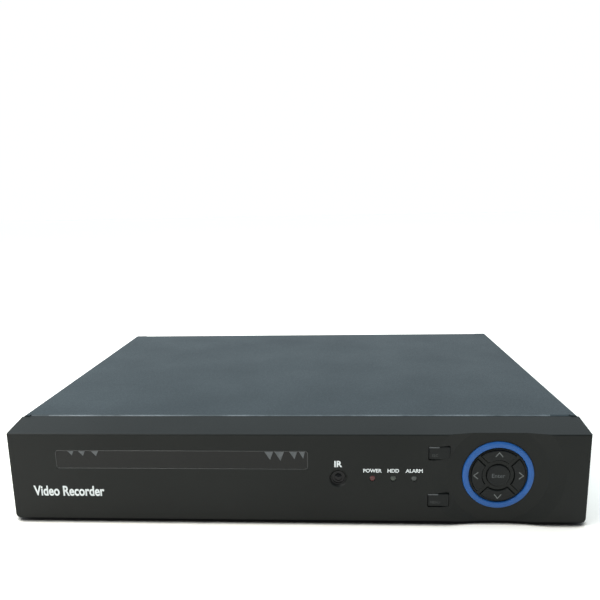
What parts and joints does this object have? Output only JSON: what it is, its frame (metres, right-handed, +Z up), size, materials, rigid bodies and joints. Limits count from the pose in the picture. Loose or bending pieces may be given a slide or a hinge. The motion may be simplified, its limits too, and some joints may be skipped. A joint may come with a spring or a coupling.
{
  "type": "digital video recorder",
  "caption": "Desktop video recorder: folded steel case, moulded front with a long window, a round key pad in a light ring, indicator lights, and video, audio and data sockets at the rear.",
  "frame": {"origin": "middle of the footprint (bezel face to video jack tips), on the surface under the feet", "axes": "+X to the right seen from the front, +Y from the bezel to the rear sockets, +Z up"},
  "size_m": [0.3012, 0.227, 0.053],
  "materials": {
    "bezel_plastic": "satin black, fine moulded grain",
    "window_plastic": "smoked, smooth",
    "ring_blue": "translucent blue",
    "ir_plastic": "dark infrared-pass",
    "light_red": "translucent red",
    "light_green": "translucent grey-green",
    "light_grey": "translucent grey",
    "key_plastic": "satin black",
    "switch_plastic": "moulded black",
    "circuit_board": "green solder mask",
    "chip_plastic": "moulded black",
    "cover_paint": "fine textured powder coat",
    "tray_paint": "fine textured powder coat",
    "screw_black": "black zinc",
    "screw_zinc": "zinc plated",
    "foot_rubber": "matt",
    "drive_casting": "dark coated casting",
    "drive_lid_steel": "satin",
    "platter_metal": "polished",
    "arm_metal": "machined",
    "nickel": "satin nickel plating",
    "gold_contact": "gold plated",
    "jack_block_plastic": "moulded black",
    "core_white": "moulded white",
    "core_red": "moulded red",
    "core_blue": "moulded blue",
    "tongue_black": "moulded black",
    "header_plastic": "moulded cream",
    "sink_aluminium": "extruded, anodised",
    "capacitor_sleeve": "shrink sleeve",
    "cell_steel": "satin",
    "fan_plastic": "moulded black"
  },
  "bodies": {
    "root": {"alarm_light": "light_grey", "audio_jack_blocks": "jack_block_plastic", "audio_jack_cores_red": "core_red", "audio_jack_cores_white": "core_white", "audio_jack_shells": "nickel", "bezel_screws": "screw_zinc", "board_capacitors": "capacitor_sleeve", "board_chips": "chip_plastic", "board_headers": "header_plastic", "board_screws": "screw_zinc", "cell_holder": "switch_plastic", "chassis_tray": "tray_paint", "coin_cell": "cell_steel", "cover_screws": "screw_black", "data_socket_shells": "nickel", "data_socket_tongues": "tongue_black", "drive_base": "drive_casting", "drive_board": "circuit_board", "drive_connector": "tongue_black", "drive_lid": "drive_lid_steel", "drive_light": "light_green", "drive_screws": "screw_zinc", "fan_frame": "fan_plastic", "fan_screws": "screw_black", "foot_front_left": "foot_rubber", "foot_front_right": "foot_rubber", "foot_rear_left": "foot_rubber", "foot_rear_right": "foot_rubber", "front_bezel": "bezel_plastic", "heat_sink": "sink_aluminium", "ir_window": "ir_plastic", "keypad_board": "circuit_board", "keypad_components": "chip_plastic", "light_ring": "ring_blue", "main_board": "circuit_board", "network_socket": "jack_block_plastic", "power_light": "light_red", "power_socket": "jack_block_plastic", "screen_jack_screws": "nickel", "screen_socket_core": "core_blue", "screen_socket_shell": "nickel", "slot_window": "window_plastic", "socket_contacts": "gold_contact", "switch_housings": "switch_plastic", "top_cover": "cover_paint", "video_jack_blocks": "jack_block_plastic", "video_jack_cores": "core_white", "video_jack_shells": "nickel"},
    "up_key": {"up_key": "key_plastic"},
    "down_key": {"down_key": "key_plastic"},
    "left_key": {"left_key": "key_plastic"},
    "right_key": {"right_key": "key_plastic"},
    "enter_key": {"enter_key": "key_plastic"},
    "menu_key": {"menu_key": "key_plastic"},
    "escape_key": {"escape_key": "key_plastic"},
    "fan_rotor": {"fan_rotor": "fan_plastic"},
    "drive_platter": {"drive_platter": "platter_metal"},
    "drive_arm": {"drive_arm": "arm_metal"}
  },
  "joints": [
    {"name": "up_key_press", "type": "slide", "parent": "root", "child": "up_key", "axis": [0, 1, 0], "range_m": [0, 0.0006], "stiffness_N_per_m": 1500, "springref_m": -0.0004},
    {"name": "down_key_press", "type": "slide", "parent": "root", "child": "down_key", "axis": [0, 1, 0], "range_m": [0, 0.0006], "stiffness_N_per_m": 1500, "springref_m": -0.0004},
    {"name": "left_key_press", "type": "slide", "parent": "root", "child": "left_key", "axis": [0, 1, 0], "range_m": [0, 0.0006], "stiffness_N_per_m": 1500, "springref_m": -0.0004},
    {"name": "right_key_press", "type": "slide", "parent": "root", "child": "right_key", "axis": [0, 1, 0], "range_m": [0, 0.0006], "stiffness_N_per_m": 1500, "springref_m": -0.0004},
    {"name": "enter_key_press", "type": "slide", "parent": "root", "child": "enter_key", "axis": [0, 1, 0], "range_m": [0, 0.0006], "stiffness_N_per_m": 1500, "springref_m": -0.0004},
    {"name": "menu_key_press", "type": "slide", "parent": "root", "child": "menu_key", "axis": [0, 1, 0], "range_m": [0, 0.0006], "stiffness_N_per_m": 1500, "springref_m": -0.0004},
    {"name": "escape_key_press", "type": "slide", "parent": "root", "child": "escape_key", "axis": [0, 1, 0], "range_m": [0, 0.0006], "stiffness_N_per_m": 1500, "springref_m": -0.0004},
    {"name": "fan_spin", "type": "hinge", "parent": "root", "child": "fan_rotor", "pos_m": [-0.118, 0.0924, 0.025], "axis": [0, 1, 0], "continuous": true},
    {"name": "platter_spin", "type": "hinge", "parent": "root", "child": "drive_platter", "pos_m": [-0.09, -0.0367, 0.0191], "axis": [0, 0, 1], "continuous": true},
    {"name": "arm_swing", "type": "hinge", "parent": "root", "child": "drive_arm", "pos_m": [-0.028, -0.0587, 0.019], "axis": [0, 0, -1], "range_deg": [0, 32]}
  ]
}
